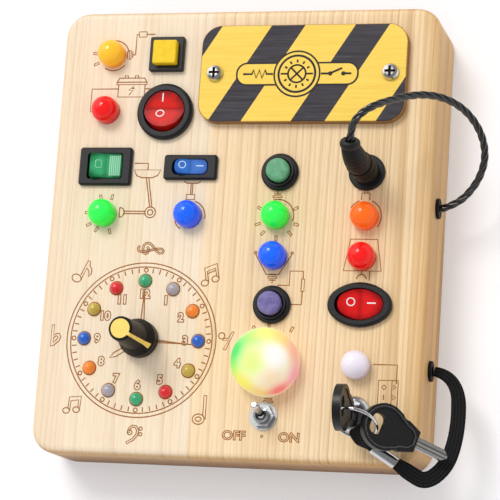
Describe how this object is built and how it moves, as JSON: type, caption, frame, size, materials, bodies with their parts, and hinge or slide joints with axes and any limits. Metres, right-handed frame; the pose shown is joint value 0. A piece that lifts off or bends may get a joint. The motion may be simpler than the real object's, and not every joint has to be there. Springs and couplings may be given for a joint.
{
  "type": "electronic busy board",
  "caption": "Wooden busy board with coloured lamps, rocker, push-button and toggle switches, a lamp dial with a pointer knob, a key lock with tethered keys, and a plug on a cable.",
  "frame": {"origin": "centre of the board's flat back face", "axes": "+X to the board's right-hand side, +Y to its top edge, +Z out of the control face; the board lies on its back"},
  "size_m": [0.1769, 0.1885, 0.0694],
  "materials": {
    "pine": "clear-varnished solid pine",
    "plywood": "bare plywood",
    "black_plastic": "moulded black plastic",
    "cell_can": "plain wrapped steel can",
    "nickel": "nickel-plated",
    "board_green": "glass-epoxy board",
    "zinc": "zinc-plated steel",
    "plaque_yellow": "yellow plastic with a black striped border",
    "chrome": "chrome-plated",
    "lens_amber": "translucent",
    "lens_red": "translucent",
    "lens_green": "translucent",
    "lens_blue": "translucent",
    "lens_orange": "translucent",
    "lens_white": "milky translucent",
    "led_clear": "moulded LED body",
    "green_plastic": "moulded",
    "blue_plastic": "moulded",
    "yellow_plastic": "moulded",
    "red_clear": "translucent red",
    "brass": "bare brass",
    "red_plastic": "moulded switch body",
    "black_webbing": "flat woven webbing",
    "black_rubber": "soft grommet",
    "black_cable": "twisted insulated wires"
  },
  "bodies": {
    "board": {"wooden_case": "pine", "back_cover": "plywood", "battery_holder": "black_plastic", "battery_door": "plywood", "battery_cells": "cell_can", "battery_contacts": "nickel", "circuit_board": "board_green", "circuit_board_parts": "black_plastic", "assembly_screws": "zinc", "speaker": "zinc", "hazard_plaque": "plaque_yellow", "plaque_screws": "chrome", "lens_amber": "lens_amber", "lens_red": "lens_red", "lens_green": "lens_green", "lens_blue": "lens_blue", "lens_orange": "lens_orange", "lens_white": "lens_white", "lamp_leds": "led_clear", "dial_leds": "led_clear", "dial_ring_board": "board_green", "rgb_dome": "lens_white", "rgb_lamp_module": "board_green", "round_button_housings": "black_plastic", "square_button_housing": "black_plastic", "button_springs": "nickel", "panel_nuts": "nickel", "round_rocker_housing": "black_plastic", "green_rocker_housing": "black_plastic", "blue_rocker_housing": "black_plastic", "oval_rocker_housing": "black_plastic", "switch_terminals": "brass", "toggle_body": "red_plastic", "toggle_bushing": "nickel", "selector_switch": "black_plastic", "lock_barrel": "chrome", "key_strap": "black_webbing", "grommets": "black_rubber", "power_jack": "black_plastic", "supply_cable": "black_cable"},
    "square_button": {"square_button_cap": "yellow_plastic"},
    "green_button": {"green_button_cap": "green_plastic"},
    "blue_button": {"blue_button_cap": "blue_plastic"},
    "round_switch": {"round_rocker": "red_clear"},
    "green_switch": {"green_rocker": "green_plastic"},
    "blue_switch": {"blue_rocker": "blue_plastic"},
    "oval_switch": {"oval_rocker": "black_plastic"},
    "toggle": {"toggle_lever": "chrome"},
    "dial": {"selector_shaft": "brass", "knob": "black_plastic", "knob_cap": "yellow_plastic"},
    "lock": {"lock_plug": "chrome"},
    "key": {"key_bow": "black_plastic", "key_blade": "nickel"},
    "ring": {"key_ring": "chrome", "strap_ferrule": "chrome"},
    "spare_key": {"spare_key_bow": "black_plastic", "spare_key_blade": "nickel"},
    "plug": {"power_plug": "black_plastic", "plug_contact": "nickel"}
  },
  "joints": [
    {"name": "square_button_press", "type": "slide", "parent": "board", "child": "square_button", "axis": [0, 0, -1], "range_m": [0, 0.002], "stiffness_N_per_m": 300, "springref_m": -0.002, "deforming": ["button_springs"]},
    {"name": "green_button_press", "type": "slide", "parent": "board", "child": "green_button", "axis": [0, 0, -1], "range_m": [0, 0.0025], "stiffness_N_per_m": 300, "springref_m": -0.002, "deforming": ["button_springs"]},
    {"name": "blue_button_press", "type": "slide", "parent": "board", "child": "blue_button", "axis": [0, 0, -1], "range_m": [0, 0.0025], "stiffness_N_per_m": 300, "springref_m": -0.002, "deforming": ["button_springs"]},
    {"name": "round_rocker_tilt", "type": "hinge", "parent": "board", "child": "round_switch", "pos_m": [-0.0321, 0.0479, 0.02874], "axis": [1, 0, 0], "range_deg": [0, 16]},
    {"name": "green_rocker_tilt", "type": "hinge", "parent": "board", "child": "green_switch", "pos_m": [-0.0554, 0.0253, 0.02854], "axis": [0, -1, 0], "range_deg": [0, 16]},
    {"name": "blue_rocker_tilt", "type": "hinge", "parent": "board", "child": "blue_switch", "pos_m": [-0.0197, 0.025, 0.02854], "axis": [0, -1, 0], "range_deg": [0, 16]},
    {"name": "oval_rocker_tilt", "type": "hinge", "parent": "board", "child": "oval_switch", "pos_m": [0.0523, -0.0291, 0.02854], "axis": [0, -1, 0], "range_deg": [0, 16]},
    {"name": "toggle_throw", "type": "hinge", "parent": "board", "child": "toggle", "pos_m": [0.0168, -0.0733, 0.0326], "axis": [1, 0, 0], "range_deg": [0, 24]},
    {"name": "dial_turn", "type": "hinge", "parent": "board", "child": "dial", "pos_m": [-0.0352, -0.0446, 0.03], "axis": [0, 0, 1], "continuous": true},
    {"name": "lock_turn", "type": "hinge", "parent": "board", "child": "lock", "pos_m": [0.052, -0.0715, 0.03], "axis": [0, 0, 1], "range_deg": [-90, 0], "deforming": ["key_strap"]},
    {"name": "key_pull", "type": "slide", "parent": "lock", "child": "key", "axis": [0, 0, 1], "range_m": [0, 0.014], "deforming": ["key_strap"]},
    {"name": "ring_swing", "type": "hinge", "parent": "key", "child": "ring", "pos_m": [0.052, -0.0723, 0.0529], "axis": [1, 0, 0], "range_deg": [-10, 0], "deforming": ["key_strap"]},
    {"name": "spare_key_swing", "type": "hinge", "parent": "ring", "child": "spare_key", "pos_m": [0.06514, -0.0777, 0.047], "axis": [0.0617, 0.5214, 0.851], "range_deg": [-25, 8]},
    {"name": "plug_pull", "type": "slide", "parent": "board", "child": "plug", "axis": [0, 0, 1], "range_m": [0, 0.012], "deforming": ["supply_cable"]}
  ]
}
